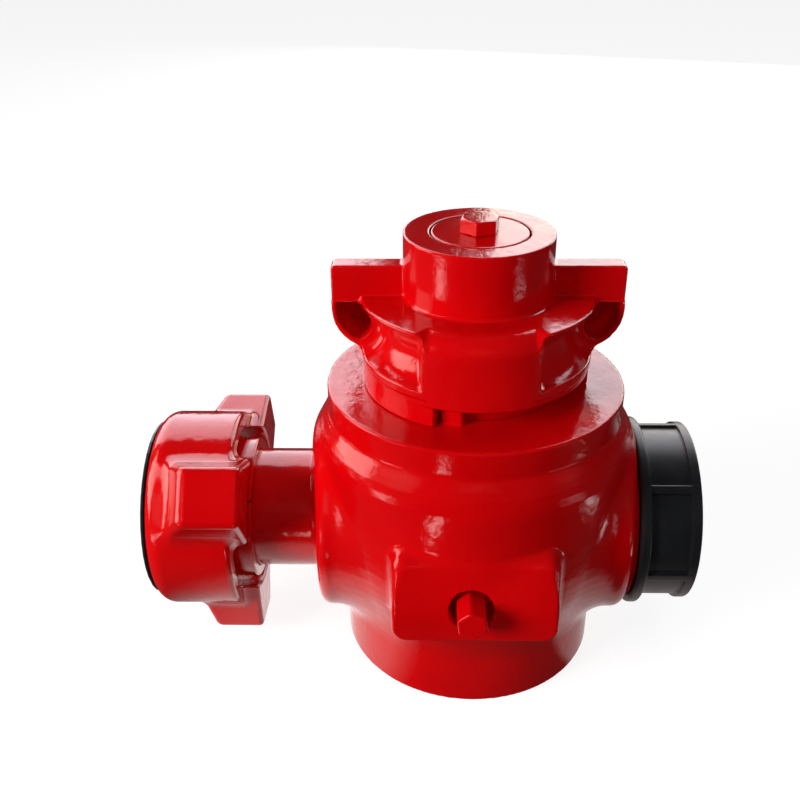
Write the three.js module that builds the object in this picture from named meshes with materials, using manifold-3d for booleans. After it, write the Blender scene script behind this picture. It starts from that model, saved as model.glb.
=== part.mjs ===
// Quarter-turn plug valve with hammer union ends. Millimetres, +Z up.
// Origin: centre of the flat base, on the valve's vertical axis.
// +X runs to the threaded end, -X to the wing nut end, -Y faces the grease pad.
import * as THREE from 'three';
import { mergeVertices } from 'three/addons/utils/BufferGeometryUtils.js';
import Module from 'manifold-3d';

const wasm = await Module();
wasm.setup();

// ---------- driving dimensions ----------
const GAP = 0.3;              // clearance between touching pieces
const SEG = 36;               // sides of the mating round surfaces
const PORT_Z = 101.4;         // height of the flow axis
const BORE_R = 22.2;          // flow bore radius

const BASE_R = 90.8;          // foot of the body
const BARREL_R = 109;         // widest part of the barrel
const RIM_R = 100;            // top rim
const RIM_Z = 208.6;          // top face of the body
const BOSS_R = 70;            // port bosses
const BOSS_X = 106;
const PAD_X0 = -55, PAD_X1 = 52, PAD_Y = -115, PAD_Z0 = 77, PAD_Z1 = 118, PAD_ZTOP = 141;
const HOLE_X = -4, HOLE_R = 14.2;      // recess for the grease fitting

const CAVITY_R = 56, CAVITY_Z0 = 44, CAVITY_Z1 = 160;
const NUTBORE_R = 58.3;       // bore that takes the adjusting nut
const PLUG_R = 34, STEM_R = 25, TRUNNION_R = 22.3, POCKET_R = 22.6, POCKET_Z = 28;
const DRIVE_AF = 34, DRIVE_Z0 = 230, STEM_TOP = 300;

const HUB_R = 48.4, HUB_Z = 312.1, DISC_R = 31.8;
const DRUM_R = 76, DRUM_Z0 = 224.5, DECK_Z = 270.5;
const EAR_X = 94.5, EAR_Y = 7, EAR_Z0 = 266.5, EAR_Z1 = 291.3;
const SCOOP_RHO = 80, SCOOP_Z = 252, SCOOP_R = 17, BLOCK_X = 36;
const SOCKET_X = 79.2, SOCKET_Z = 254, SOCKET_R = 12, SOCKET_Y0 = -14, SOCKET_Y1 = 30;
const STOP_R0 = 60, STOP_R1 = 76, STOP_Z0 = 208.9;
const STOP_A0 = 172, STOP_A1 = 247.8;  // left stop arc on the cap, degrees
const LUG_A0 = 248.4, LUG_A1 = 261.6, LUG_R0 = 59.4, LUG_R1 = 68, LUG_Z1 = 221.4;

const NECK_R = 42.5, NOSE_R = 50, NOSE_X0 = -202, NOSE_X1 = -186;
const NUT_R = 69.7, NUT_X0 = -223.5, NUT_X1 = -164.4, NUT_HOLE_R = 50.8, NUT_CAV_R = 57, NUT_SHOULDER = -176;
const WING_R = 92, WING_X0 = -204, WING_X1 = -153.5, WING_ANGLES = [38, 158, 278];
const SUB_R = 57.2, SUB_X1 = 147.5, COLLAR_R = 63;
const CAP_X0 = 110.3, CAP_X1 = 152, CAP_R = 61.2, CAP_FLANGE_R = 67;

// ---------- helpers ----------
const deg = THREE.MathUtils.degToRad;

function toSolid(geometry) {
  const g0 = geometry.clone();
  for (const name of Object.keys(g0.attributes)) if (name !== 'position') g0.deleteAttribute(name);
  const g = mergeVertices(g0, 1e-4);
  const p = g.getAttribute('position');
  const src = g.index.array;
  let tri = [];
  for (let i = 0; i < src.length; i += 3) {
    const a = src[i], b = src[i + 1], c = src[i + 2];
    if (a !== b && b !== c && c !== a) tri.push(a, b, c);
  }
  let vol = 0;
  for (let i = 0; i < tri.length; i += 3) {
    const [a, b, c] = [tri[i], tri[i + 1], tri[i + 2]].map((k) => new THREE.Vector3().fromBufferAttribute(p, k));
    vol += a.dot(b.cross(c));
  }
  if (vol < 0) for (let i = 0; i < tri.length; i += 3) [tri[i], tri[i + 1]] = [tri[i + 1], tri[i]];
  return new wasm.Manifold(new wasm.Mesh({
    numProp: 3,
    vertProperties: Float32Array.from(p.array),
    triVerts: Uint32Array.from(tri),
  }));
}

function toGeometry(solid) {
  const m = solid.getMesh();
  const g = new THREE.BufferGeometry();
  g.setAttribute('position', new THREE.BufferAttribute(Float32Array.from(m.vertProperties), 3));
  g.setIndex(new THREE.BufferAttribute(Uint32Array.from(m.triVerts), 1));
  g.computeVertexNormals();
  return g;
}

// profile: [[radius, height], ...] from axis to axis, or a closed loop
function latheZ(profile, seg = SEG, a0 = 0) {
  const pts = profile.map(([r, h]) => new THREE.Vector2(r, h));
  const g = new THREE.LatheGeometry(pts, seg);
  g.rotateX(Math.PI / 2);
  g.rotateZ(deg(a0));
  return toSolid(g);
}
// profile: [[radius, x], ...] turned about the flow axis
function latheX(profile, seg = SEG, a0 = 0) {
  const pts = profile.map(([r, h]) => new THREE.Vector2(r, h));
  const g = new THREE.LatheGeometry(pts, seg);
  g.rotateX(Math.PI / 2);
  g.rotateZ(deg(a0));
  g.rotateY(Math.PI / 2);
  g.translate(0, 0, PORT_Z);
  return toSolid(g);
}
const rodZ = (r, z0, z1, seg = SEG, a0 = 0) => latheZ([[0, z0], [r, z0], [r, z1], [0, z1]], seg, a0);
const rodX = (r, x0, x1, seg = SEG, a0 = 0) => latheX([[0, x0], [r, x0], [r, x1], [0, x1]], seg, a0);
const ringZ = (r0, r1, z0, z1, seg = SEG) => latheZ([[r0, z0], [r1, z0], [r1, z1], [r0, z1], [r0, z0]], seg);
const ringX = (r0, r1, x0, x1, seg = SEG) => latheX([[r0, x0], [r1, x0], [r1, x1], [r0, x1], [r0, x0]], seg);
function rodY(r, x, z, y0, y1, seg = 32, a0 = 0) {
  const g = new THREE.CylinderGeometry(r, r, y1 - y0, seg);
  g.rotateY(deg(a0));
  g.translate(x, (y0 + y1) / 2, z);
  return toSolid(g);
}
function prismZ(pts, z0, z1) {
  const g = new THREE.ExtrudeGeometry(new THREE.Shape(pts.map(([a, b]) => new THREE.Vector2(a, b))), { depth: z1 - z0, bevelEnabled: false });
  g.translate(0, 0, z0);
  return toSolid(g);
}
function prismY(pts, y0, y1) {           // pts: [[x, z], ...]
  const g = new THREE.ExtrudeGeometry(new THREE.Shape(pts.map(([a, b]) => new THREE.Vector2(a, b))), { depth: y1 - y0, bevelEnabled: false });
  g.rotateX(Math.PI / 2);
  g.translate(0, y1, 0);
  return toSolid(g);
}
function prismX(pts, x0, x1) {           // pts: [[y, z], ...]
  const g = new THREE.ExtrudeGeometry(new THREE.Shape(pts.map(([a, b]) => new THREE.Vector2(a, b))), { depth: x1 - x0, bevelEnabled: false });
  g.applyMatrix4(new THREE.Matrix4().makeBasis(new THREE.Vector3(0, 1, 0), new THREE.Vector3(0, 0, 1), new THREE.Vector3(1, 0, 0)));
  g.translate(x0, 0, 0);
  return toSolid(g);
}
function block(x0, x1, y0, y1, z0, z1) {
  const g = new THREE.BoxGeometry(x1 - x0, y1 - y0, z1 - z0);
  g.translate((x0 + x1) / 2, (y0 + y1) / 2, (z0 + z1) / 2);
  return toSolid(g);
}
// wedge about the vertical axis between two angles
function wedgeZ(a0, a1, r, z0, z1) {
  const pts = [[0, 0]];
  const n = Math.max(2, Math.ceil((a1 - a0) / 15));
  for (let i = 0; i <= n; i++) {
    const a = deg(a0 + ((a1 - a0) * i) / n);
    pts.push([r * Math.cos(a), r * Math.sin(a)]);
  }
  return prismZ(pts, z0, z1);
}
// wedge about the flow axis; angles run from -Y upward
function wedgeX(a0, a1, r, x0, x1) {
  const pts = [[0, PORT_Z]];
  const n = Math.max(2, Math.ceil((a1 - a0) / 15));
  for (let i = 0; i <= n; i++) {
    const a = deg(a0 + ((a1 - a0) * i) / n);
    pts.push([-r * Math.cos(a), PORT_Z + r * Math.sin(a)]);
  }
  return prismX(pts, x0, x1);
}
const sum = (list) => list.reduce((a, b) => a.add(b));
const less = (a, list) => list.reduce((s, b) => s.subtract(b), a);
// a copy turned about the flow axis
function turnX(solid, angle) {
  const g = toGeometry(solid);
  g.translate(0, 0, -PORT_Z);
  g.rotateX(deg(angle));
  g.translate(0, 0, PORT_Z);
  return toSolid(g);
}
function mirrorX(solid) {
  const g = toGeometry(solid);
  g.scale(-1, 1, 1);
  return toSolid(g);
}

const group = new THREE.Group();
function add(name, solid, color, roughness, metalness) {
  const mesh = new THREE.Mesh(toGeometry(solid), new THREE.MeshStandardMaterial({ color, roughness, metalness }));
  mesh.name = name;
  group.add(mesh);
  return mesh;
}
const RED = 0xcf0a10, STEEL = 0x8f9296, RUBBER = 0x1c1c1c, PLASTIC = 0x16181b, BRASS = 0xa98a4a;

// ---------- valve body ----------
{
  const barrel = latheZ([
    [0, 0], [BASE_R - 2, 0], [BASE_R, 2], [BASE_R, 30], [93, 44], [99, 58], [105, 73], [BARREL_R, 90],
    [BARREL_R, 166], [107.5, 177], [104, 185], [RIM_R, 189.6], [RIM_R, RIM_Z - 2], [RIM_R - 2, RIM_Z], [0, RIM_Z],
  ], 44, 0);
  const bosses = latheX([[0, -BOSS_X], [BOSS_R - 6, -BOSS_X], [BOSS_R - 1.8, -BOSS_X + 1.8], [BOSS_R, -BOSS_X + 6],
    [BOSS_R, BOSS_X - 6], [BOSS_R - 1.8, BOSS_X - 1.8], [BOSS_R - 6, BOSS_X], [0, BOSS_X]], SEG);
  const outline = [[PAD_X0 + 10, PAD_Z0], [PAD_X1 - 10, PAD_Z0], [PAD_X1 - 3, PAD_Z0 + 3], [PAD_X1, PAD_Z0 + 10],
    [PAD_X1, PAD_ZTOP], [PAD_X0, PAD_ZTOP], [PAD_X0, PAD_Z0 + 10], [PAD_X0 + 3, PAD_Z0 + 3]];
  const side = [[PAD_Y + 2, PAD_Z0 - 1], [PAD_Y, PAD_Z0 + 2], [PAD_Y, PAD_Z1], [PAD_Y + 2, PAD_Z1 + 9], [-108, PAD_ZTOP + 1], [-70, PAD_ZTOP + 1], [-70, PAD_Z0 - 1]];
  const pad = prismY(outline, -116, -71).intersect(prismX(side, PAD_X0 - 1, PAD_X1 + 1));
  const neck = latheX([[0, NOSE_X0], [NOSE_R - 8, NOSE_X0], [NOSE_R, NOSE_X0 + 8], [NOSE_R, NOSE_X1], [NECK_R, NOSE_X1],
    [NECK_R, -109], [NECK_R + 3, -100], [0, -100]], SEG);
  const sub = latheX([[0, 100], [COLLAR_R, 100], [COLLAR_R, 109.8], [SUB_R, 109.8], [SUB_R, SUB_X1 - 2], [SUB_R - 2, SUB_X1], [0, SUB_X1]], SEG);
  const lug = wedgeZ(LUG_A0, LUG_A1, 90, RIM_Z - 4, LUG_Z1).intersect(ringZ(LUG_R0, LUG_R1, RIM_Z - 5, LUG_Z1 + 1));
  const lug2 = wedgeZ(LUG_A0 - 180, LUG_A1 - 180, 90, RIM_Z - 4, LUG_Z1).intersect(ringZ(LUG_R0, LUG_R1, RIM_Z - 5, LUG_Z1 + 1));
  const cavity = latheZ([[0, POCKET_Z], [POCKET_R, POCKET_Z], [POCKET_R, CAVITY_Z0], [CAVITY_R, CAVITY_Z0], [CAVITY_R, CAVITY_Z1],
    [NUTBORE_R, CAVITY_Z1], [NUTBORE_R, RIM_Z + 30], [0, RIM_Z + 30]], SEG);
  const flow = rodX(BORE_R, -260, 130, 32);
  const socket = latheX([[0, 129.5], [31.5, 129.5], [31.5, 140], [40, 149], [0, 149]], SEG);
  const greaseHole = sum([rodY(HOLE_R, HOLE_X, PORT_Z, -130, -98, 32), rodY(8, HOLE_X, PORT_Z, -99, -50, 20)]);
  const pinHoles = rodX(4.3, -64.3, 64.3, 16).translate([0, 0, 60 - PORT_Z]);
  add('valve_body', less(sum([barrel, bosses, pad, neck, sub, lug, lug2]), [cavity, flow, socket, greaseHole, pinHoles]), RED, 0.25, 0.0);
}

// ---------- plug, turning on the vertical axis ----------
{
  const round = latheZ([[0, 28.4], [TRUNNION_R - 1.5, 28.4], [TRUNNION_R, 30], [TRUNNION_R, 34], [19, 34], [19, 39.4], [TRUNNION_R, 39.4],
    [TRUNNION_R, CAVITY_Z0 + 0.4], [PLUG_R, CAVITY_Z0 + 0.4], [PLUG_R, 152], [STEM_R, 152], [STEM_R, 178], [21.5, 178], [21.5, 184.6], [STEM_R, 184.6],
    [STEM_R, DRIVE_Z0], [0, DRIVE_Z0]], SEG);
  const h = DRIVE_AF / 2;
  const drive = prismZ([[h, -h], [h, h], [-h, h], [-h, -h]], DRIVE_Z0 - 1, STEM_TOP).intersect(rodZ(22.5, DRIVE_Z0 - 2, STEM_TOP + 1, 32));
  const tap = rodZ(8, 272, STEM_TOP + 1, 20);
  add('plug', less(sum([round, drive]), [rodX(BORE_R, -60, 60, 32), tap]), STEEL, 0.3, 1.0);
  add('plug_lower_seal', ringZ(19.3, 22.2, 34.4, 39, 32), RUBBER, 0.7, 0.0);
  add('plug_upper_seal', ringZ(21.8, 25.2, 178.4, 184.2, 32), RUBBER, 0.7, 0.0);
}

// ---------- side segments with their seals and pins ----------
{
  const full = ringZ(PLUG_R + GAP, CAVITY_R - GAP, CAVITY_Z0 + 0.4, 152);
  const grooveTube = ringX(26, 31.5, 40, 70, 32);
  const groove = less(grooveTube, [rodZ(52.2, 60, 150)]);
  const seg = less(full.intersect(wedgeZ(-65, 65, 90, 40, 156)), [rodX(BORE_R, 20, 70, 32), groove,
    rodX(4.3, 46.7, 60, 16).translate([0, 0, 60 - PORT_Z])]);
  const seal = ringX(26.3, 31.2, 40, 70, 32).intersect(ringZ(52.6, CAVITY_R - GAP, 60, 150));
  const pin = rodX(4, 47, 64, 16).translate([0, 0, 60 - PORT_Z]);
  add('side_segment_right', seg, STEEL, 0.35, 1.0);
  add('side_segment_left', mirrorX(seg), STEEL, 0.35, 1.0);
  add('segment_seal_right', seal, RUBBER, 0.7, 0.0);
  add('segment_seal_left', mirrorX(seal), RUBBER, 0.7, 0.0);
  add('segment_pin_right', pin, STEEL, 0.3, 1.0);
  add('segment_pin_left', mirrorX(pin), STEEL, 0.3, 1.0);
}

// ---------- bonnet: thrust ring, adjusting nut and its seal ----------
{
  add('thrust_ring', ringZ(STEM_R + 0.6, CAVITY_R - GAP, 152.4, 159.9), STEEL, 0.35, 1.0);
  const nut = latheZ([[STEM_R + 0.6, 160.3], [NUTBORE_R - 0.3, 160.3], [NUTBORE_R - 0.3, 166], [54.5, 166], [54.5, 171.4], [NUTBORE_R - 0.3, 171.4],
    [NUTBORE_R - 0.3, 219], [45, 219], [45, 213], [STEM_R + 0.6, 213], [STEM_R + 0.6, 160.3]]);
  const slots = [];
  for (let k = 0; k < 8; k++) slots.push(wedgeZ(288 + 45 * k, 312 + 45 * k, 80, 213.4, 225).subtract(rodZ(40, 200, 230)));
  add('adjusting_nut', less(nut, slots), RED, 0.3, 0.0);
  add('adjusting_nut_seal', ringZ(54.8, NUTBORE_R - 0.5, 166.4, 171), RUBBER, 0.7, 0.0);
}

// ---------- operating cap, disc and bolt ----------
{
  const drum = latheZ([[0, DRUM_Z0], [DRUM_R - 2.5, DRUM_Z0], [DRUM_R, DRUM_Z0 + 3.5], [DRUM_R, DECK_Z - 2], [DRUM_R - 2, DECK_Z],
    [HUB_R, DECK_Z + 0.5], [HUB_R, HUB_Z - 1], [HUB_R - 1, HUB_Z], [0, HUB_Z]], 48);
  const parts = [drum];
  for (const s of [1, -1]) {
    parts.push(prismY([[s * 30, 250], [s * 70, 250], [s * 70, EAR_Z0], [s * (EAR_X - 0.6), EAR_Z0], [s * EAR_X, EAR_Z1 - 5],
      [s * (EAR_X - 1.5), EAR_Z1 - 1.5], [s * (EAR_X - 5), EAR_Z1], [s * 30, EAR_Z1]], -EAR_Y, EAR_Y));
    const hook = prismY([[s * 50, 234.5], [s * 75.7, 234.5], [s * 78, 236.6], [s * 81.5, 238.5], [s * 85, 240.6], [s * 89, 245.4],
      [s * 92, 250.8], [s * 93.8, 257], [s * 94.4, 262], [s * 94.4, EAR_Z0 + 0.2], [s * 50, EAR_Z0 + 0.2]], -10, 36);
    parts.push(hook.intersect(rodZ(97.5, 220, 300, 48)));
  }
  for (const a of [0, 180]) {
    parts.push(wedgeZ(STOP_A0 + a, STOP_A1 + a, 100, STOP_Z0, DRUM_Z0 + 4).intersect(ringZ(STOP_R0, STOP_R1, STOP_Z0 - 1, DRUM_Z0 + 3.5, 48)));
  }
  const scoopProfile = [];
  for (let i = 0; i <= 12; i++) {
    const a = deg((360 * i) / 12);
    scoopProfile.push([SCOOP_RHO + SCOOP_R * Math.cos(a), SCOOP_Z + SCOOP_R * Math.sin(a)]);
  }
  scoopProfile[12] = scoopProfile[0];
  const torus = latheZ(scoopProfile, 48);
  const front = block(-120, 120, -120, -12, 200, 300);
  const scoops = torus.intersect(front).subtract(block(-BLOCK_X, BLOCK_X, -130, 0, 200, 320));
  const cuts = [scoops];
  for (const s of [1, -1]) {
    cuts.push(rodY(SOCKET_R, s * SOCKET_X, SOCKET_Z, SOCKET_Y0, SOCKET_Y1, 28));
    cuts.push(prismY([[s * (SOCKET_X + SOCKET_R - 0.7), SOCKET_Z + 1], [s * (SOCKET_X + SOCKET_R - 0.7), EAR_Z0], [s * (SOCKET_X - SOCKET_R + 1), EAR_Z0],
      [s * (SOCKET_X - SOCKET_R + 1), SOCKET_Z + 1]], SOCKET_Y0, SOCKET_Y1));
  }
  const h = DRIVE_AF / 2 + 0.3;
  cuts.push(prismZ([[h, -h], [h, h], [-h, h], [-h, -h]], 200, 303).intersect(rodZ(23, 190, 310, 32)));
  cuts.push(rodZ(STEM_R + 0.4, 200, DRIVE_Z0 + 0.4));
  cuts.push(rodZ(DISC_R + 0.5, 303, 320));
  add('operating_cap', less(sum(parts), cuts), RED, 0.25, 0.0);
  add('cap_retainer_disc', latheZ([[8.1, 303.3], [DISC_R, 303.3], [DISC_R, HUB_Z - 0.8], [DISC_R - 0.8, HUB_Z], [8.1, HUB_Z], [8.1, 303.3]]), RED, 0.25, 0.0);
  const shank = rodZ(7.6, 274, HUB_Z + 1, 20);
  const head = latheZ([[0, HUB_Z + 0.3], [13, HUB_Z + 0.3], [13, 320.7], [12.1, 321.5], [0, 321.5]], 6, 77.5);
  add('cap_bolt', sum([shank, head]).translate([0, 0, 0]), RED, 0.3, 0.0);
}

// ---------- grease fitting in the front pad ----------
{
  const y1 = -98.4;
  const body = sum([rodY(7.7, HOLE_X, PORT_Z, -100, -70, 20), rodY(10.4, HOLE_X, PORT_Z, -130, y1, 6, 30)]);
  const passage = sum([rodY(2.2, HOLE_X, PORT_Z, -136, -60, 12), rodY(4.4, HOLE_X, PORT_Z, -112, -60, 16)]);
  add('grease_fitting', less(body, [passage]), RED, 0.3, 0.0);
  const ball = new THREE.SphereGeometry(3.2, 12, 8);
  ball.translate(HOLE_X, -109.2, PORT_Z);
  add('grease_check_ball', toSolid(ball), STEEL, 0.2, 1.0);
  const pts = [];
  for (let i = 0; i <= 44; i++) {
    const a = (i / 44) * Math.PI * 2 * 4;
    pts.push(new THREE.Vector3(HOLE_X + 3.2 * Math.cos(a), -104 + (i / 44) * 26, PORT_Z + 3.2 * Math.sin(a)));
  }
  const wire = new THREE.Shape();
  for (let i = 0; i < 5; i++) {
    const a = deg(72 * i);
    if (i === 0) wire.moveTo(0.55 * Math.cos(a), 0.55 * Math.sin(a)); else wire.lineTo(0.55 * Math.cos(a), 0.55 * Math.sin(a));
  }
  wire.closePath();
  const spring = new THREE.ExtrudeGeometry(wire, { steps: 44, extrudePath: new THREE.CatmullRomCurve3(pts), bevelEnabled: false });
  add('grease_check_spring', toSolid(spring), STEEL, 0.3, 1.0);
}

// ---------- wing nut with its retainer ----------
{
  const shell = latheX([[0, NUT_X0], [NUT_R - 8, NUT_X0], [NUT_R - 4.5, NUT_X0 + 1], [NUT_R - 1.2, NUT_X0 + 4.5], [NUT_R, NUT_X0 + 9],
    [NUT_R, NUT_X1 - 3], [NUT_R - 3, NUT_X1], [0, NUT_X1]], SEG);
  const wing = prismX([[-26, PORT_Z + 60], [26, PORT_Z + 60], [25, PORT_Z + 72], [20.5, PORT_Z + WING_R - 3], [17.5, PORT_Z + WING_R],
    [-17.5, PORT_Z + WING_R], [-20.5, PORT_Z + WING_R - 3], [-25, PORT_Z + 72]], WING_X0, WING_X1);
  const slope = prismY([[WING_X0 - 1, PORT_Z + 70], [WING_X0 - 1, PORT_Z + 100], [WING_X0 + 7, PORT_Z + 100], [WING_X0, PORT_Z + 70]], -60, 60);
  const wing1 = wing.subtract(slope);
  const wings = WING_ANGLES.map((a) => turnX(wing1, 90 - a));
  const inside = latheX([[0, NUT_X0 - 1], [NUT_CAV_R + 1, NUT_X0 - 1], [NUT_CAV_R, NUT_X0 + 1], [NUT_CAV_R, NUT_SHOULDER], [NUT_HOLE_R, NUT_SHOULDER],
    [NUT_HOLE_R, NUT_X1 - 5], [58, NUT_X1 - 5], [58, NUT_X1 + 1], [0, NUT_X1 + 1]], SEG);
  add('wing_nut', less(sum([shell, ...wings]), [inside]), RED, 0.25, 0.0);

  const ring = latheX([[NECK_R + GAP, -185.7], [56.5, -185.7], [56.5, -182.4], [54.2, -182.4], [54.2, -178.6], [56.5, -178.6], [56.5, -176.3],
    [NUT_HOLE_R - 0.4, -176.3], [NUT_HOLE_R - 0.4, -154.2], [NUT_HOLE_R - 1.6, -153], [NECK_R + GAP, -153], [NECK_R + GAP, -185.7]], SEG);
  ['a', 'b', 'c'].forEach((id, k) => {
    const w = wedgeX(39 + 120 * k, 157 + 120 * k, 120, -190, -150);
    add('retainer_segment_' + id, ring.intersect(w), STEEL, 0.4, 1.0);
  });
  add('retainer_snap_ring', ringX(54.5, 56.4, -182, -179).subtract(wedgeX(215, 221, 90, -190, -170)), STEEL, 0.35, 1.0);
  add('nut_protector', latheX([[0, -226], [60.5, -226], [62, -225], [62, NUT_X0 - GAP], [NUT_CAV_R - 0.4, NUT_X0 - GAP], [NUT_CAV_R - 0.4, -208], [53, -208],
    [53, -222.6], [0, -222.6]], SEG), PLASTIC, 0.5, 0.0);
}

// ---------- threaded end: seal ring and protector ----------
{
  add('union_seal_ring', latheX([[25.5, 129.9], [31.1, 129.9], [31.1, 138], [29, 139.4], [25.5, 137], [25.5, 129.9]], SEG), RUBBER, 0.7, 0.0);
  const cup = latheX([[0, CAP_X1], [CAP_R + 0.4, CAP_X1], [CAP_R + 1.4, CAP_X1 - 1], [CAP_R + 1.4, CAP_X1 - 4], [CAP_R, CAP_X1 - 5], [CAP_R, 119],
    [CAP_FLANGE_R - 1, 118], [CAP_FLANGE_R, 117], [CAP_FLANGE_R, CAP_X0 + 1.5], [CAP_FLANGE_R - 1.5, CAP_X0],
    [SUB_R + 0.4, CAP_X0], [SUB_R + 0.4, 148.3], [0, 148.3]].reverse(), SEG);
  const ribs = [-20, 40, 100, 160, 220, 280].map((a) => wedgeX(a - 1.6, a + 1.6, 90, 117, CAP_X1 - 2).intersect(ringX(59, CAP_R + 1.9, 116, CAP_X1 - 1, 36)));
  add('thread_protector', sum([cup, ...ribs]), PLASTIC, 0.5, 0.0);
}

export default group;
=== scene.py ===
import math

import bpy
import numpy as np
from mathutils import Matrix, Vector


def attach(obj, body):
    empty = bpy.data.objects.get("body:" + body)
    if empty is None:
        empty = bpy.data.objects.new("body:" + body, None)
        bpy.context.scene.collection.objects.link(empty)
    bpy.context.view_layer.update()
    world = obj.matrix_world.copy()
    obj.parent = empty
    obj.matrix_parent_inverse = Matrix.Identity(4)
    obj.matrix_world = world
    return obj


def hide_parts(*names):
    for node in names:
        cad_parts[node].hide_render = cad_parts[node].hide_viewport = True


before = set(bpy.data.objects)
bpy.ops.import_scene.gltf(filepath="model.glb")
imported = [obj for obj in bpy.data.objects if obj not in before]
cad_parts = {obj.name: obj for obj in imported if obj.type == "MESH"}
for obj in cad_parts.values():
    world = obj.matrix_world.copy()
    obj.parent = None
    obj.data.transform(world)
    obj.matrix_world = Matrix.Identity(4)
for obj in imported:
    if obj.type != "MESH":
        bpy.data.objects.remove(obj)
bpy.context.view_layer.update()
MM = 0.001
PZ = 101.4          # height of the flow axis, mm
FINE = 1.0          # grid scale of the meshes made from distance fields

# ------------------------------------------------------------------ camera
CAM = np.array([-37.0183016, -594.78656473, 516.15770839])
FWD = np.array([-0.02045957, 0.87693795, -0.48016793])
ROLL = math.radians(-0.43)
fwd = Vector(FWD).normalized()
right = fwd.cross(Vector((0, 0, 1))).normalized()
up = right.cross(fwd)
r_ax = math.cos(ROLL) * right + math.sin(ROLL) * up
u_ax = -math.sin(ROLL) * right + math.cos(ROLL) * up
cam_data = bpy.data.cameras.new("camera")
cam_data.sensor_width = 36.0
cam_data.lens = 44.232
cam_data.clip_start = 0.01
cam_data.clip_end = 50
cam = bpy.data.objects.new("camera", cam_data)
bpy.context.scene.collection.objects.link(cam)
m = Matrix.Identity(4)
for i in range(3):
    m[i][0] = r_ax[i]
    m[i][1] = u_ax[i]
    m[i][2] = -fwd[i]
    m[i][3] = CAM[i] * MM
cam.matrix_world = m
bpy.context.scene.camera = cam


# ------------------------------------------------------------------ distance fields (millimetres)
def rmin(a, b, r):
    """union with a round fillet"""
    u = np.maximum(r - a, 0.0)
    v = np.maximum(r - b, 0.0)
    return np.maximum(r, np.minimum(a, b)) - np.sqrt(u * u + v * v)


def rmax(a, b, r):
    """intersection with a rounded edge"""
    u = np.maximum(r + a, 0.0)
    v = np.maximum(r + b, 0.0)
    return np.minimum(-r, np.maximum(a, b)) + np.sqrt(u * u + v * v)


def rsub(a, b, r):
    """b cut out of a, edge rounded"""
    return rmax(a, -b, r)


def slab(v, lo, hi, r=0.5):
    return rmax(lo - v, v - hi, 0.0) if r <= 0 else np.maximum(lo - v, v - hi)


def cyl(rho, h, radius, lo, hi, r_lo=1.0, r_hi=1.0):
    """round rod: rho distance from its axis, h along it"""
    d = rmax(rho - radius, h - hi, r_hi)
    return rmax(d, lo - h, r_lo)


def ring(rho, h, r0, r1, lo, hi, r=1.0):
    d = rmax(rho - r1, h - hi, r)
    d = rmax(d, lo - h, r)
    return rmax(d, r0 - rho, r)


def poly2d(px, py, pts):
    """signed distance to a closed polygon"""
    pts = np.asarray(pts, dtype=np.float64)
    n = len(pts)
    d = np.full(px.shape, 1e18)
    s = np.ones(px.shape)
    for i in range(n):
        j = i - 1
        ex, ey = pts[j] - pts[i]
        wx, wy = px - pts[i][0], py - pts[i][1]
        t = np.clip((wx * ex + wy * ey) / (ex * ex + ey * ey), 0.0, 1.0)
        bx, by = wx - ex * t, wy - ey * t
        d = np.minimum(d, bx * bx + by * by)
        c1 = py >= pts[i][1]
        c2 = py < pts[j][1]
        c3 = ex * wy > ey * wx
        flip = (c1 & c2 & c3) | (~c1 & ~c2 & ~c3)
        s = np.where(flip, -s, s)
    return s * np.sqrt(d)


def angle_band(x, y, a0, a1):
    """distance-like field, negative between two angles (degrees, under 180 apart) about the origin"""
    n0 = np.array([math.sin(math.radians(a0)), -math.cos(math.radians(a0))])
    n1 = np.array([-math.sin(math.radians(a1)), math.cos(math.radians(a1))])
    return np.maximum(x * n0[0] + y * n0[1], x * n1[0] + y * n1[1])


# ------------------------------------------------------------------ mesher
CORNERS = np.array([(0, 0, 0), (1, 0, 0), (0, 1, 0), (1, 1, 0), (0, 0, 1), (1, 0, 1), (0, 1, 1), (1, 1, 1)])
EDGES = [(0, 1), (2, 3), (4, 5), (6, 7), (0, 2), (1, 3), (4, 6), (5, 7), (0, 4), (1, 5), (2, 6), (3, 7)]


def gradient(f, p, e=0.04):
    k = np.array([(1, -1, -1), (-1, -1, 1), (-1, 1, -1), (1, 1, 1)], dtype=np.float64)
    g = np.zeros_like(p)
    for row in k:
        q = p + row * e
        g += f(q[:, 0], q[:, 1], q[:, 2])[:, None] * row
    return g / (4 * e)


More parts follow.
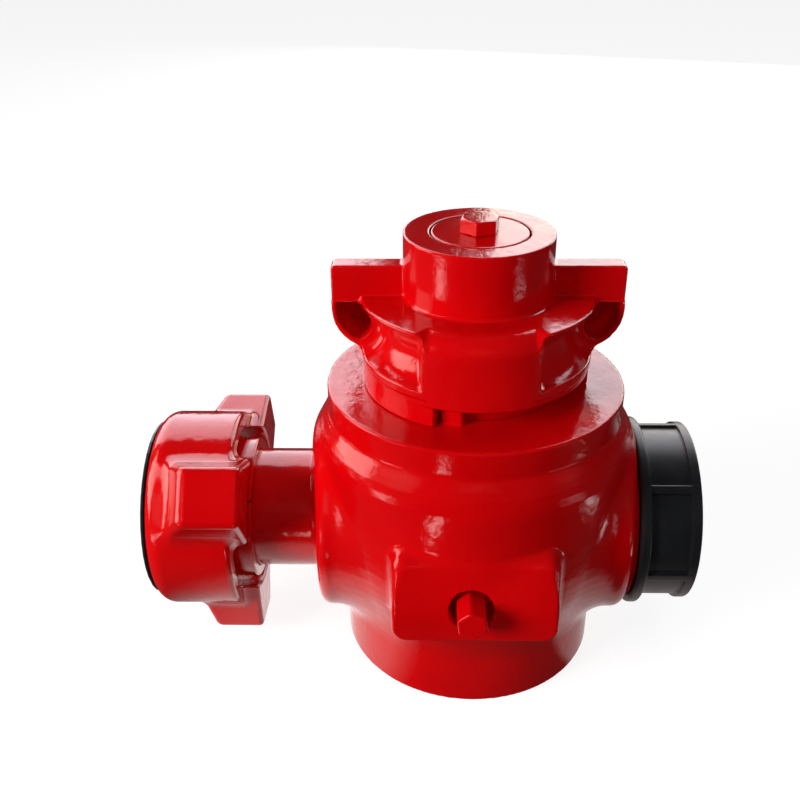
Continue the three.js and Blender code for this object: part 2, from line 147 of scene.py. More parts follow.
def mesh_from(name, f, lo, hi, h, passes=3):
    """closed quad mesh of f = 0 by surface nets, its points then moved on to the surface"""
    h = h * FINE
    lo = np.asarray(lo, float) - 1.37 * h
    hi = np.asarray(hi, float) + 1.61 * h
    B = 8
    nb = np.maximum(1, np.ceil((hi - lo) / (h * B)).astype(int))
    n = nb * B + 1
    V = np.empty(tuple(n), np.float32)
    bi = np.stack(np.meshgrid(*[np.arange(k) for k in nb], indexing="ij"), -1).reshape(-1, 3)
    c = lo + (bi + 0.5) * B * h
    fc = f(c[:, 0], c[:, 1], c[:, 2])
    near = np.abs(fc) < B * h * 0.866 * 1.25 + 2 * h
    far = np.where(fc > 0, 1e3, -1e3).astype(np.float32)
    for (i, j, k), v in zip(bi, far):
        V[i * B:(i + 1) * B + 1, j * B:(j + 1) * B + 1, k * B:(k + 1) * B + 1] = v
    loc = np.stack(np.meshgrid(*[np.arange(B + 1)] * 3, indexing="ij"), -1).reshape(-1, 3)
    act = bi[near]
    step = 400
    for s in range(0, len(act), step):
        a = act[s:s + step]
        ijk = (a[:, None, :] * B + loc[None]).reshape(-1, 3)
        p = lo + ijk * h
        V[ijk[:, 0], ijk[:, 1], ijk[:, 2]] = f(p[:, 0], p[:, 1], p[:, 2])
    inside = V < 0
    cnt = np.zeros(tuple(n - 1), np.int8)
    for cx, cy, cz in CORNERS:
        cnt += inside[cx:n[0] - 1 + cx, cy:n[1] - 1 + cy, cz:n[2] - 1 + cz]
    cells = np.argwhere((cnt > 0) & (cnt < 8))
    vals = np.stack([V[cells[:, 0] + cx, cells[:, 1] + cy, cells[:, 2] + cz] for cx, cy, cz in CORNERS], 1)
    acc = np.zeros((len(cells), 3))
    num = np.zeros(len(cells))
    for a, b in EDGES:
        va, vb = vals[:, a], vals[:, b]
        m_ = (va < 0) != (vb < 0)
        t = np.where(m_, va / np.where(m_, va - vb, 1.0), 0.0)
        pt = CORNERS[a] + (CORNERS[b] - CORNERS[a]) * t[:, None]
        acc += pt * m_[:, None]
        num += m_
    P = lo + (cells + acc / num[:, None]) * h
    ids = np.full(tuple(n - 1), -1, np.int64)
    ids[cells[:, 0], cells[:, 1], cells[:, 2]] = np.arange(len(cells))
    quads = []
    for ax in range(3):
        b1, b2 = [(1, 2), (2, 0), (0, 1)][ax]
        sl0 = [slice(1, n[q] - 1) for q in range(3)]
        sl1 = [slice(1, n[q] - 1) for q in range(3)]
        sl0[ax] = slice(0, n[ax] - 1)
        sl1[ax] = slice(1, n[ax])
        A = inside[tuple(sl0)]
        Bn = inside[tuple(sl1)]
        for flip, msk in ((False, A & ~Bn), (True, ~A & Bn)):
            e = np.argwhere(msk)
            if not len(e):
                continue
            e = e + [1 if q != ax else 0 for q in range(3)]
            o1 = np.zeros(3, int)
            o1[b1] = 1
            o2 = np.zeros(3, int)
            o2[b2] = 1
            q0 = e - o1 - o2
            q1 = e - o2
            q2 = e
            q3 = e - o1
            q = np.stack([ids[c_[:, 0], c_[:, 1], c_[:, 2]] for c_ in (q0, q1, q2, q3)], 1)
            quads.append(q[:, ::-1] if flip else q)
    Q = np.concatenate(quads)
    Q = Q[(Q >= 0).all(1)]
    for _ in range(passes):
        g = gradient(f, P)
        d = f(P[:, 0], P[:, 1], P[:, 2])
        s = np.clip(d / np.maximum((g * g).sum(1), 0.2), -0.6 * h, 0.6 * h)
        P = P - g * s[:, None]
    g = gradient(f, P, 0.08)
    N = g / np.maximum(np.linalg.norm(g, axis=1), 1e-9)[:, None]
    return build(name, P, Q, N)


def build(name, P, Q, N=None):
    me = bpy.data.meshes.new(name)
    me.vertices.add(len(P))
    me.vertices.foreach_set("co", (P * MM).astype(np.float32).ravel())
    me.loops.add(Q.size)
    me.loops.foreach_set("vertex_index", Q.astype(np.int32).ravel())
    me.polygons.add(len(Q))
    me.polygons.foreach_set("loop_start", np.arange(0, Q.size, Q.shape[1], dtype=np.int32))
    me.update(calc_edges=True)
    me.validate()
    for_smooth = np.ones(len(me.polygons), dtype=bool)
    me.polygons.foreach_set("use_smooth", for_smooth)
    if N is not None and len(me.vertices) == len(N):
        me.normals_split_custom_set_from_vertices(N.astype(np.float32).tolist())
    ob = bpy.data.objects.new(name, me)
    bpy.context.scene.collection.objects.link(ob)
    return ob


# ------------------------------------------------------------------ shapes
BARREL = [(-20.0, 0.0), (88.6, 0.0), (90.2, 0.7), (90.8, 2.2), (90.8, 34.0), (91.0, 38.0), (91.6, 42.5), (92.7, 47.5), (94.2, 53.0),
          (96.2, 59.0), (98.6, 65.5), (101.2, 72.0), (103.8, 78.5), (106.0, 85.0), (107.6, 92.0), (108.6, 99.5), (109.0, 107.0),
          (109.0, 163.0), (108.7, 168.5), (107.8, 173.5), (106.3, 178.5), (104.3, 183.0), (101.9, 187.0), (99.0, 190.4), (-20.0, 190.4)]


def body_f(x, y, z):
    rho = np.hypot(x, y)
    zc = z - PZ
    rx = np.hypot(y, zc)
    # foot, flare, barrel and shoulder in one turned outline
    d = poly2d(rho, z, BARREL)
    rim = cyl(rho, z, 100.0, 150.0, 208.6, 1.0, 1.6)
    d = rmin(d, rim, 1.8)
    # port bosses
    ax = np.abs(x)
    boss = rmax(rx - 70.0, ax - 107.0, 8.0)
    d = rmin(d, boss, 13.0)
    # pipe neck with its nose
    neck = cyl(rx, -x, 42.5, 60.0, 195.0, 1.0, 1.0)
    d = rmin(d, neck, 5.0)
    nose = cyl(rx, -x, 50.0, 186.0, 202.0, 1.2, 5.0)
    d = np.minimum(d, nose)
    # threaded end
    collar = cyl(rx, x, 63.0, 90.0, 109.8, 1.0, 1.2)
    d = rmin(d, collar, 2.0)
    return d


def body_full(x, y, z):
    rho = np.hypot(x, y)
    zc = z - PZ
    rx = np.hypot(y, zc)
    d = body_f(x, y, z)
    # threaded end, coarse screw thread
    th = np.arctan2(zc, y)
    ph = (x - 112.0) / 6.0 - th / (2 * math.pi)
    tri = np.abs((ph - np.floor(ph)) - 0.5) * 2.0
    cut = np.clip((tri - 0.35) / 0.3, 0.0, 1.0) * 2.0
    thread = np.maximum(np.maximum((rx - 57.0 + cut * (x > 112)) * 0.8, x - 147.5), 100.0 - x)
    sub = rmax(rmax(rx - 55.0, x - 147.5, 1.5), 100.0 - x, 1.0)
    d = np.minimum(d, np.minimum(np.maximum(thread, (rx + x - (57.0 + 145.5)) * 0.707), sub))
    # front pad
    px, pz = x + 1.5, z - 106.5
    qx, qz = np.abs(px) - 43.5, np.abs(pz) - 20.5
    pad2 = np.hypot(np.maximum(qx, 0), np.maximum(qz, 0)) + np.minimum(np.maximum(qx, qz), 0) - 10.0
    pad = rmax(pad2, -115.0 - y, 2.6 + 5.0 * smooth((z - 112.0) / 16.0))
    slope = -0.9363 * (y + 115.0) + 0.3511 * (z - 115.0)
    pad = rmax(pad, slope, 9.0)
    pad = np.maximum(pad, y + 60.0)
    d = rmin(d, pad, 5.0)
    # stop lugs on the top face
    for a in (255.0, 75.0):
        ca, sa = math.cos(math.radians(a)), math.sin(math.radians(a))
        u = x * ca + y * sa
        v = -x * sa + y * ca
        lug = rmax(np.abs(v) - 7.1, rmax(rho - 68.0, 59.6 - rho, 2.0), 1.6)
        lug = rmax(lug, z - 221.4, 2.0)
        lug = np.maximum(np.maximum(lug, 204.0 - z), -u)
        d = rmin(d, lug, 1.5)
    # inside: cavity, nut bore, flow bore, socket, grease hole
    cav = np.maximum(np.maximum(rho - 56.0, 44.0 - z), z - 170.0)
    pocket = np.maximum(np.maximum(rho - 22.6, 28.0 - z), z - 60.0)
    nutb = np.maximum(rho - 58.3, 160.0 - z)
    inner = np.minimum(np.minimum(cav, pocket), nutb)
    bore = np.maximum(rx - 22.2, x - 140.0)
    sock = np.maximum(rx - 31.5, 129.5 - x)
    mouth = np.maximum((rx - 31.5 - (x - 140.0)) * 0.707, 129.5 - x)
    inner = np.minimum(inner, np.minimum(bore, np.minimum(sock, np.maximum(mouth, rx - 41.0))))
    d = rsub(d, inner, 0.8)
    hr = np.hypot(x + 4.0, zc)
    hole = np.maximum(hr - 14.2, y + 98.0)
    hole2 = np.maximum(hr - 8.0, y + 50.0)
    d = rsub(d, np.minimum(hole, hole2), 1.3)
    return d


HOOK = [(94.4, 270.0), (94.5, 263.0), (94.0, 257.5), (92.7, 252.4), (90.3, 247.7), (86.8, 243.0), (83.0, 239.8), (79.0, 237.4),
        (75.5, 234.2), (70.0, 232.0), (40.0, 232.0), (40.0, 270.0)]
POCKET = [(91.5, 272.0), (91.5, 260.0), (90.3, 254.3), (87.4, 249.2), (83.7, 245.0), (80.0, 242.4), (76.5, 241.6), (73.0, 242.8),
          (70.0, 246.2), (68.6, 250.6), (69.3, 255.6), (71.4, 260.0), (74.3, 263.6), (75.0, 272.0)]


def smooth(t):
    t = np.clip(t, 0.0, 1.0)
    return t * t * (3 - 2 * t)


def cap_f(x, y, z):
    rho = np.hypot(x, y)
    ax = np.abs(x)
    # drum: its front block has a softer top edge, its sides a thin stepped flange
    soft = smooth((41.0 - ax) / 10.0) * smooth((-y - 30.0) / 20.0)
    dr = rmax(rho - 76.0, z - 270.6, 1.7 + 12.0 * soft)
    low = np.maximum(rho - (76.0 - 1.1 * (1.0 - soft) * smooth((227.0 - z) / 0.8 + 0.5)), dr)
    drum = rmax(low, 222.4 - z, 1.4)
    hub = cyl(rho, z, 48.4, 230.0, 312.1, 1.0, 1.1)
    d = rmin(drum, hub, 2.2)
    # stop arcs under the drum
    for off in (0.0, 180.0):
        a0, a1 = 172.3 + off, 247.6 + off
        arc = rmax(rmax(rho - 75.2, 60.0 - rho, 1.0), angle_band(x, y, a0, a1), 1.0)
        arc = rmax(arc, 208.9 - z, 1.0)
        arc = np.maximum(arc, z - 230.0)
        d = rmin(d, arc, 0.6)
    # hooks under the ears
    hk = poly2d(ax, z, HOOK)
    hk = rmax(hk, -10.0 - y, 0.8)
    hk = rmax(hk, y - 36.0, 4.0)
    hk = rmax(hk, rho - 99.0, 4.0)
    hk = rmax(hk, z - 266.8, 0.6)
    hk = np.maximum(hk, 45.0 - ax)
    d = rmin(d, hk, 3.0)
    # ears
    ear = rmax(ax - 94.6, z - 291.3, 3.2)
    ear = rmax(ear, np.abs(y) - 7.0, 1.3)
    ear = np.maximum(ear, 250.0 - z)
    ear = rmax(ear, 264.9 - z, 0.8)
    d = rmin(d, ear, 1.6)
    # bar grooves in the front
    tor = np.hypot(rho - 80.0, z - 250.5) - 18.3
    sc = rmax(tor, 36.6 - ax, 2.5)
    sc = rmax(sc, y + 10.5, 7.0)
    d = rsub(d, sc, 1.3)
    # bar sockets
    tun = rmax(poly2d(ax, z, POCKET), z - 266.5, 0.8)
    tun = rmax(tun, y - 26.0, 5.0)
    tun = np.maximum(tun, -20.0 - y)
    d = rsub(d, tun, 0.5)
    # drive hole and the recess of the retainer disc
    d = np.maximum(d, -np.maximum(np.maximum(rho - 25.4, 200.0 - z), z - 230.4))
    sq = np.maximum(np.maximum(ax, np.abs(y)) - 17.3, rho - 23.0)
    d = np.maximum(d, -np.maximum(sq, z - 303.5))
    d = rsub(d, np.maximum(np.hypot(x - 0.4, y) - 32.2, 303.0 - z), 0.8)
    return d


def nut_f(x, y, z):
    zc = z - PZ
    rx = np.hypot(y, zc)
    shell = cyl(rx, x, 69.7, -223.5, -164.4, 12.5, 3.5)
    d = shell
    for a in (38.0, 158.0, 278.0):
        ca, sa = math.cos(math.radians(a)), math.sin(math.radians(a))
        u = -y * ca + zc * sa                # outward
        v = y * sa + zc * ca                 # sideways
        flank = (np.abs(v) - 20.0) * 0.97 + (u - 89.0) * 0.24
        w = rmax(flank, u - 92.0, 4.0)
        w = np.maximum(w, 50.0 - u)
        if a == 38.0:
            front = (-(x + 204.5)) * 0.876 + (u - 72.0) * 0.482
        else:
            front = (-(x + 194.5)) * 0.96 + (u - 72.0) * 0.28
        w = rmax(w, front, 5.0)
        w = rmax(w, x + 153.6, 3.5)
        d = rmin(d, w, 7.0)
    # bores
    cav = np.maximum(rx - 57.0, x + 176.0)
    th = np.arctan2(zc, y)
    ph = (x + 176.0) / 6.0 - th / (2 * math.pi)
    tri = np.abs((ph - np.floor(ph)) - 0.5) * 2.0
    grow = np.clip((tri - 0.35) / 0.3, 0.0, 1.0) * 1.6 * (x < -184)
    cav = np.minimum(cav, np.maximum((rx - 57.0 - grow) * 0.8, x + 178.0))
    hole = rx - 50.8
    rec = np.maximum(rx - 58.0, -169.4 - x)
    d = rsub(d, np.minimum(cav, hole), 0.9)
    d = rsub(d, rec, 1.5)
    return d


def cup_f(x, y, z):
    zc = z - PZ
    rx = np.hypot(y, zc)
    d = cyl(rx, x, 61.0, 117.0, 152.0, 1.0, 1.4)
    lip = cyl(rx, x, 63.3, 145.2, 151.8, 0.9, 1.5)
    d = rmin(d, lip, 0.8)
    flange = cyl(rx, x, 67.0, 110.3, 117.8, 2.4, 2.4)
    d = rmin(d, flange, 1.5)
    ph = np.degrees(np.arctan2(zc, -y))
    k = (ph - 46.0 + 30.0) % 60.0 - 30.0
    v = np.radians(k) * rx
    rib = rmax(np.abs(v) - 3.1, rx - 63.2, 0.8)
    rib = np.maximum(np.maximum(rib, 117.0 - x), x - 149.0)
    d = rmin(d, rib, 0.8)
    d = rsub(d, np.maximum(rx - 57.6, x - 148.3), 0.7)
    # moulded ring and hub on the closed end
    d = rsub(d, np.maximum(np.abs(rx - 50.0) - 1.2, 151.2 - x), 0.4)
    return d


# ------------------------------------------------------------------ materials
def new_mat(name):
    mt = bpy.data.materials.new(name)
    mt.use_nodes = True
    nt = mt.node_tree
    for n_ in list(nt.nodes):
        nt.nodes.remove(n_)
    out = nt.nodes.new("ShaderNodeOutputMaterial")
    bs = nt.nodes.new("ShaderNodeBsdfPrincipled")
    nt.links.new(bs.outputs[0], out.inputs[0])
    tc = nt.nodes.new("ShaderNodeTexCoord")
    return mt, nt, bs, tc


def noise(nt, tc, scale, detail=3.0, rough=0.5, dist=0.0):
    n_ = nt.nodes.new("ShaderNodeTexNoise")
    n_.inputs["Scale"].default_value = scale
    n_.inputs["Detail"].default_value = detail
    n_.inputs["Roughness"].default_value = rough
    n_.inputs["Distortion"].default_value = dist
    nt.links.new(tc.outputs["Object"], n_.inputs["Vector"])
    return n_


def ramp(nt, src, stops, out="Fac"):
    r_ = nt.nodes.new("ShaderNodeValToRGB")
    els = r_.color_ramp.elements
    while len(els) < len(stops):
        els.new(0.5)
    for e, (p, c) in zip(els, stops):
        e.position = p
        e.color = c if len(c) == 4 else (*c, 1.0)
    nt.links.new(src.outputs[out], r_.inputs["Fac"])
    return r_


def bump_chain(nt, bs, items, sock="Normal"):
    prev = None
    for src, out, strength, distance in items:
        b = nt.nodes.new("ShaderNodeBump")
        b.inputs["Strength"].default_value = strength
        b.inputs["Distance"].default_value = distance
        nt.links.new(src.outputs[out], b.inputs["Height"])
        if prev is not None:
            nt.links.new(prev.outputs[0], b.inputs["Normal"])
        prev = b
    nt.links.new(prev.outputs[0], bs.inputs[sock])
    return prev


def red_enamel(name, cast=1.0, rough=0.12):
    mt, nt, bs, tc = new_mat(name)
    big = noise(nt, tc, 14.0, 2.0)
    col = ramp(nt, big, [(0.30, (0.60, 0.0, 0.0015)), (0.70, (0.72, 0.0015, 0.003))])
    nt.links.new(col.outputs["Color"], bs.inputs["Base Color"])
    n2 = noise(nt, tc, 60.0, 4.0, 0.6)
    ro = nt.nodes.new("ShaderNodeMapRange")
    ro.inputs["To Min"].default_value = rough * 0.7
    ro.inputs["To Max"].default_value = rough * 1.5
    nt.links.new(n2.outputs["Fac"], ro.inputs["Value"])
    nt.links.new(ro.outputs["Result"], bs.inputs["Roughness"])
    bs.inputs["IOR"].default_value = 1.5
    wave = noise(nt, tc, 45.0, 2.0, 0.5)
    grit = noise(nt, tc, 230.0, 3.0, 0.55)
    fine = noise(nt, tc, 900.0, 2.0, 0.5)
    bump_chain(nt, bs, [(wave, "Fac", 1.0, 0.0006 * cast), (grit, "Fac", 1.0, 0.00018 * cast), (fine, "Fac", 1.0, 0.00004)])
    return mt


def plastic(name):
    mt, nt, bs, tc = new_mat(name)
    big = noise(nt, tc, 30.0, 3.0)
    col = ramp(nt, big, [(0.3, (0.010, 0.011, 0.013)), (0.7, (0.017, 0.018, 0.021))])
    nt.links.new(col.outputs["Color"], bs.inputs["Base Color"])
    n2 = noise(nt, tc, 120.0, 4.0, 0.6)
    ro = nt.nodes.new("ShaderNodeMapRange")
    ro.inputs["To Min"].default_value = 0.30
    ro.inputs["To Max"].default_value = 0.48
    nt.links.new(n2.outputs["Fac"], ro.inputs["Value"])
    nt.links.new(ro.outputs["Result"], bs.inputs["Roughness"])
    fine = noise(nt, tc, 700.0, 2.0, 0.5)
    bump_chain(nt, bs, [(fine, "Fac", 1.0, 0.00003)])
    return mt


def steel(name):
    mt, nt, bs, tc = new_mat(name)
    bs.inputs["Metallic"].default_value = 1.0
    big = noise(nt, tc, 40.0, 4.0, 0.6)
    col = ramp(nt, big, [(0.3, (0.42, 0.42, 0.43)), (0.7, (0.56, 0.56, 0.57))])
    nt.links.new(col.outputs["Color"], bs.inputs["Base Color"])
    w = nt.nodes.new("ShaderNodeTexWave")
    w.wave_type = "BANDS"
    w.bands_direction = "Z"
    w.inputs["Scale"].default_value = 420.0
    w.inputs["Distortion"].default_value = 1.5
    nt.links.new(tc.outputs["Object"], w.inputs["Vector"])
    ro = nt.nodes.new("ShaderNodeMapRange")
    ro.inputs["To Min"].default_value = 0.22
    ro.inputs["To Max"].default_value = 0.36
    nt.links.new(w.outputs["Fac"], ro.inputs["Value"])
    nt.links.new(ro.outputs["Result"], bs.inputs["Roughness"])
    bump_chain(nt, bs, [(w, "Fac", 1.0, 0.000015)])
    return mt


def rubber(name):
    mt, nt, bs, tc = new_mat(name)
    big = noise(nt, tc, 80.0, 4.0)
    col = ramp(nt, big, [(0.3, (0.012, 0.012, 0.012)), (0.7, (0.022, 0.022, 0.022))])
    nt.links.new(col.outputs["Color"], bs.inputs["Base Color"])
    ro = nt.nodes.new("ShaderNodeMapRange")
    ro.inputs["To Min"].default_value = 0.5
    ro.inputs["To Max"].default_value = 0.7
    nt.links.new(big.outputs["Fac"], ro.inputs["Value"])
    nt.links.new(ro.outputs["Result"], bs.inputs["Roughness"])
    fine = noise(nt, tc, 900.0, 2.0)
    bump_chain(nt, bs, [(fine, "Fac", 1.0, 0.00003)])
    return mt


M_RED = red_enamel("red_enamel_cast", 1.0, 0.10)
M_RED2 = red_enamel("red_enamel_smooth", 0.45, 0.10)
M_BLACK = plastic("black_plastic")
M_STEEL = steel("machined_steel")
M_RUBBER = rubber("seal_rubber")


def give(ob, mt):
    ob.data.materials.clear()
    ob.data.materials.append(mt)


def place(ob, body, mat, slot, *nodes):
    give(ob, mat)
    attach(ob, body)
    if nodes:
        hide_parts(*nodes)


# ------------------------------------------------------------------ visible pieces
body = mesh_from("valve_body_casting", body_full, (-203, -116, -1), (149, 110, 222), 1.7)
place(body, "valve_body", M_RED, "red_enamel", "valve_body")
cap = mesh_from("operating_cap_casting", cap_f, (-95, -77, 208), (95, 77, 313), 1.1)
place(cap, "operating_cap", M_RED, "red_enamel", "operating_cap")
nut = mesh_from("wing_nut_casting", nut_f, (-224, -95, 6), (-153, 95, 197), 1.2)
place(nut, "wing_nut", M_RED, "red_enamel", "wing_nut")
cup = mesh_from("thread_protector_cap", cup_f, (110, -68, 33), (152.5, 68, 170), 0.8)
place(cup, "thread_protector", M_BLACK, "black_plastic", "thread_protector")


# split collar between the nut and the neck
def collar_f(k):
    def f(x, y, z):
        zc = z - PZ
        rx = np.hypot(y, zc)
        d = np.minimum(cyl(rx, x, 56.5, -185.7, -176.3, 0.5, 0.5), cyl(rx, x, 50.4, -185.7, -153.0, 0.5, 1.6))
        d = np.maximum(d, 42.8 - rx)
        d = np.maximum(d, -np.maximum(np.maximum(54.2 - rx, -182.4 - x), x + 178.6))
        return rmax(d, angle_band(-y, zc, 39.0 + 120.0 * k, 157.0 + 120.0 * k), 0.5)
    return f


for k_, id_ in enumerate("abc"):
    ob = mesh_from("collar_piece_" + id_, collar_f(k_), (-186.5, -57.5, PZ - 57.5), (-152.4, 57.5, PZ + 57.5), 0.9)
    place(ob, "retainer", M_RED2, "red_enamel", "retainer_segment_" + id_)


# plate in the hub, bolt, grease fitting: distance fields too, with worn round edges
def disc_f(x, y, z):
    rho = np.hypot(x, y)
    d = cyl(np.hypot(x - 0.4, y), z, 31.2, 303.3, 312.0, 0.5, 1.0)
    return np.maximum(d, 8.1 - rho)


def bolt_f(x, y, z):
    rho = np.hypot(x, y)
    hexd = np.full(x.shape, -1e9)
    for k in range(6):
        a = math.radians(77.5 + 30 + 60 * k)
        hexd = np.maximum(hexd, x * math.cos(a) + y * math.sin(a) - 11.25)
    head = rmax(hexd, z - 321.5, 0.6)
    cone = (rho - 12.0) * 0.5 + (z - 321.0) * 0.866
    head = rmax(head, cone, 0.5)
    head = np.maximum(head, 312.4 - z)
    shank = np.maximum(np.maximum(rho - 7.6, 274.0 - z), z - 314.0)
    return np.minimum(head, shank)


def fitting_f(x, y, z):
    zc = z - PZ
    xc = x + 4.0
    rho = np.hypot(xc, zc)
    hexd = np.full(x.shape, -1e9)
    for k in range(6):
        a = math.radians(60 * k + 8)
        hexd = np.maximum(hexd, xc * math.cos(a) + zc * math.sin(a) - 9.3)
    head = rmax(hexd, rho - 10.3, 0.6)
    head = rmax(head, -130.0 - y, 1.6)
    head = np.maximum(head, y + 98.4)
    shank = np.maximum(np.maximum(rho - 7.7, -100.0 - y), y + 70.0)
    d = np.minimum(head, shank)
    return np.maximum(d, -np.maximum(rho - 4.4, -112.0 - y))


ob = mesh_from("retainer_plate", disc_f, (-33, -33, 303), (33, 33, 313), 0.8)
place(ob, "operating_cap", M_RED2, "red_enamel", "cap_retainer_disc")
ob = mesh_from("hex_bolt", bolt_f, (-14, -14, 273), (14, 14, 324), 0.5)
place(ob, "operating_cap", M_RED2, "red_enamel", "cap_bolt")
ob = mesh_from("grease_fitting_body", fitting_f, (-16, -131, 88), (8, -69, 114), 0.5)
place(ob, "valve_body", M_RED2, "red_enamel", "grease_fitting")

# ------------------------------------------------------------------ carried-over CAD nodes
for name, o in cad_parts.items():
    if name in ("valve_body", "operating_cap", "wing_nut", "thread_protector", "cap_retainer_disc", "cap_bolt", "grease_fitting",
                "retainer_segment_a", "retainer_segment_b", "retainer_segment_c"):
        continue
    if "seal" in name:
        mt = M_RUBBER
    elif name == "nut_protector":
        mt = M_BLACK
    elif name == "adjusting_nut":
        mt = M_RED2
    else:
        mt = M_STEEL
    for s_ in o.material_slots:
        s_.material = mt

# ------------------------------------------------------------------ stage
fl = bpy.data.meshes.new("floor")
S = 9.0
fl.from_pydata([(-S, -S, -0.0003), (S, -S, -0.0003), (S, S, -0.0003), (-S, S, -0.0003)], [], [(0, 1, 2, 3)])
floor = bpy.data.objects.new("floor", fl)
bpy.context.scene.collection.objects.link(floor)
mt = bpy.data.materials.new("floor_white")
mt.use_nodes = True
nt = mt.node_tree
for n_ in list(nt.nodes):
    nt.nodes.remove(n_)
out = nt.nodes.new("ShaderNodeOutputMaterial")
lp = nt.nodes.new("ShaderNodeLightPath")
mix = nt.nodes.new("ShaderNodeMixShader")
seen = nt.nodes.new("ShaderNodeAddShader")
dif = nt.nodes.new("ShaderNodeBsdfDiffuse")
dif.inputs["Color"].default_value = (0.30, 0.30, 0.30, 1)
emi = nt.nodes.new("ShaderNodeEmission")
emi.inputs["Color"].default_value = (1, 1, 1, 1)
emi.inputs["Strength"].default_value = 0.86
dark = nt.nodes.new("ShaderNodeBsdfDiffuse")
dark.inputs["Color"].default_value = (0.16, 0.16, 0.165, 1)
nt.links.new(dif.outputs[0], seen.inputs[0])
nt.links.new(emi.outputs[0], seen.inputs[1])
# what the paint mirrors: a darker ground in front, brighter ground to the left and right
glow = nt.nodes.new("ShaderNodeEmission")
tc_ = nt.nodes.new("ShaderNodeTexCoord")
sep = nt.nodes.new("ShaderNodeSeparateXYZ")
nt.links.new(tc_.outputs["Object"], sep.inputs[0])
neg = nt.nodes.new("ShaderNodeMath")
neg.operation = "MULTIPLY"
neg.inputs[1].default_value = -1.0
nt.links.new(sep.outputs["Y"], neg.inputs[0])
ang = nt.nodes.new("ShaderNodeMath")
ang.operation = "ARCTAN2"
nt.links.new(sep.outputs["X"], ang.inputs[0])
nt.links.new(neg.outputs[0], ang.inputs[1])
mr = nt.nodes.new("ShaderNodeMapRange")
mr.inputs["From Min"].default_value = -math.pi
mr.inputs["From Max"].default_value = math.pi
nt.links.new(ang.outputs[0], mr.inputs["Value"])
gr = nt.nodes.new("ShaderNodeValToRGB")


def deg_pos(v):
    return (v + 180.0) / 360.0


stops = [(-180, (0.9, 0.85, 0.9)), (-100, (1.25, 1.1, 1.08)), (-48, (1.15, 0.95, 0.93)), (-31, (0.05, 0.045, 0.045)), (52, (0.05, 0.045, 0.045)),
         (58, (0.66, 0.55, 0.53)), (100, (0.70, 0.62, 0.64)), (180, (0.9, 0.85, 0.9))]
els = gr.color_ramp.elements
while len(els) < len(stops):
    els.new(0.5)
for e_, (q_, c_) in zip(els, stops):
    e_.position = deg_pos(q_)
    e_.color = (*c_, 1.0)
nt.links.new(mr.outputs["Result"], gr.inputs["Fac"])
nt.links.new(gr.outputs["Color"], glow.inputs["Color"])
ln = nt.nodes.new("ShaderNodeVectorMath")
ln.operation = "LENGTH"
nt.links.new(tc_.outputs["Object"], ln.inputs[0])
rad = nt.nodes.new("ShaderNodeMapRange")
rad.interpolation_type = "SMOOTHSTEP"
rad.inputs["From Min"].default_value = 0.17
rad.inputs["From Max"].default_value = 0.25
rad.inputs["To Min"].default_value = 1.0
rad.inputs["To Max"].default_value = 0.05
nt.links.new(ln.outputs["Value"], rad.inputs["Value"])
nt.links.new(rad.outputs["Result"], glow.inputs["Strength"])
mix2 = nt.nodes.new("ShaderNodeMixShader")
nt.links.new(lp.outputs["Is Glossy Ray"], mix2.inputs[0])
nt.links.new(dark.outputs[0], mix2.inputs[1])
nt.links.new(glow.outputs[0], mix2.inputs[2])
nt.links.new(lp.outputs["Is Camera Ray"], mix.inputs[0])
nt.links.new(mix2.outputs[0], mix.inputs[1])
nt.links.new(seen.outputs[0], mix.inputs[2])
nt.links.new(mix.outputs[0], out.inputs[0])
fl.materials.append(mt)


def area(name, loc, target, sx, sy, radiance, color=(1, 1, 1)):
    """rectangular soft light of a given brightness"""
    li = bpy.data.lights.new(name, "AREA")
    li.shape = "RECTANGLE"
    li.size = sx
    li.size_y = sy
    li.energy = radiance * sx * sy * math.pi
    li.color = color
    ob_ = bpy.data.objects.new(name, li)
    ob_.location = loc
    d = Vector(target) - Vector(loc)
    ob_.rotation_euler = d.to_track_quat("-Z", "Y").to_euler()
    bpy.context.scene.collection.objects.link(ob_)
    ob_.visible_camera = False
    return ob_


world = bpy.data.worlds.new("studio")
bpy.context.scene.world = world
world.use_nodes = True
wt = world.node_tree
bg = wt.nodes["Background"]
bg.inputs["Color"].default_value = (1, 0.98, 0.97, 1)
wl = wt.nodes.new("ShaderNodeLightPath")
wm = wt.nodes.new("ShaderNodeMapRange")
wm.inputs["To Min"].default_value = 0.13
wm.inputs["To Max"].default_value = 0.02
wt.links.new(wl.outputs["Is Glossy Ray"], wm.inputs["Value"])
wa = wt.nodes.new("ShaderNodeMath")
wa.operation = "MAXIMUM"
wt.links.new(wm.outputs["Result"], wa.inputs[0])
wt.links.new(wl.outputs["Is Camera Ray"], wa.inputs[1])
wt.links.new(wa.outputs[0], bg.inputs["Strength"])


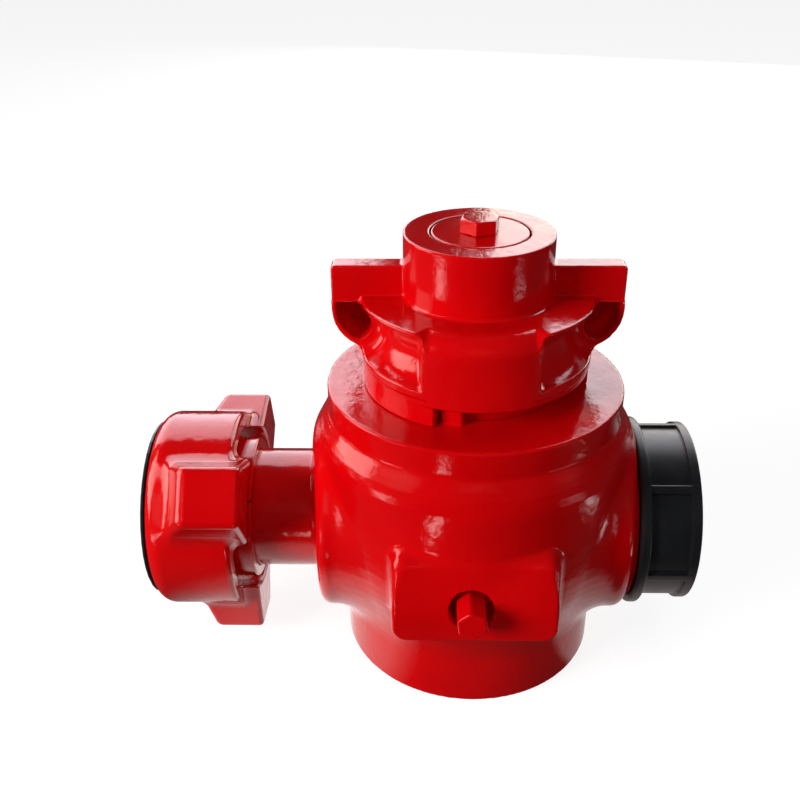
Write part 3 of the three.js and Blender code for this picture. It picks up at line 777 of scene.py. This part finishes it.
def only(ob_, diffuse, glossy):
    ob_.visible_diffuse = diffuse
    ob_.visible_glossy = glossy
    return ob_


# bright openings behind, seen in the upper faces
only(area("back_left", (-1.75, 2.4, 2.2), (-1.75, 0, 2.2), 3.1, 3.9, 4.2, (1.0, 0.86, 0.93)), False, True)
only(area("back_right_low", (1.72, 2.4, 0.72), (1.72, 0, 0.72), 3.1, 0.84, 4.6, (1.0, 0.93, 0.80)), False, True)
only(area("back_right_high", (1.72, 2.4, 2.7), (1.72, 0, 2.7), 3.1, 3.1, 4.4, (0.93, 0.93, 1.0)), False, True)
# opening on the left
only(area("left", (-2.4, 0.15, 0.98), (0, 0.15, 0.98), 1.5, 1.9, 4.6, (1.0, 0.86, 0.80)), False, True)
# key light from the left, a weak fill from the right and from above
only(area("key", (-2.0, -1.25, 0.95), (0, 0, 0.17), 1.1, 1.1, 16.5, (1.0, 0.97, 0.95)), True, False)
only(area("fill_right", (2.2, -0.9, 0.7), (0, 0, 0.15), 0.8, 0.8, 3.2), True, False)
only(area("fill_back", (0.7, 2.4, 0.42), (0, 0, 0.15), 1.6, 0.6, 7.0), True, False)
only(area("fill_front", (0.1, -2.4, 1.6), (0, 0, 0.15), 1.2, 0.9, 1.8), True, False)
only(area("fill_top", (0.0, 0.8, 2.6), (0, 0, 0.15), 1.4, 1.0, 1.9), True, False)
# lit patches on the ground, seen as streaks in the upright faces
only(area("patch_a", (-0.66, -0.37, 0.004), (-0.66, -0.37, 1.0), 0.20, 0.20, 5.0, (1.0, 0.85, 0.83)), False, True)
only(area("patch_b", (-0.142, -0.327, 0.004), (-0.142, -0.327, 1.0), 0.022, 0.09, 9.0, (1.0, 0.85, 0.80)), False, True)
only(area("patch_c", (0.62, -0.33, 0.004), (0.62, -0.33, 1.0), 0.10, 0.22, 2.2, (0.95, 0.9, 1.0)), False, True)
only(area("patch_d", (0.335, -0.085, 0.004), (0.335, -0.085, 1.0), 0.05, 0.05, 4.0, (1.0, 0.9, 0.9)), False, True)
bpy.context.scene.view_settings.view_transform = "Standard"
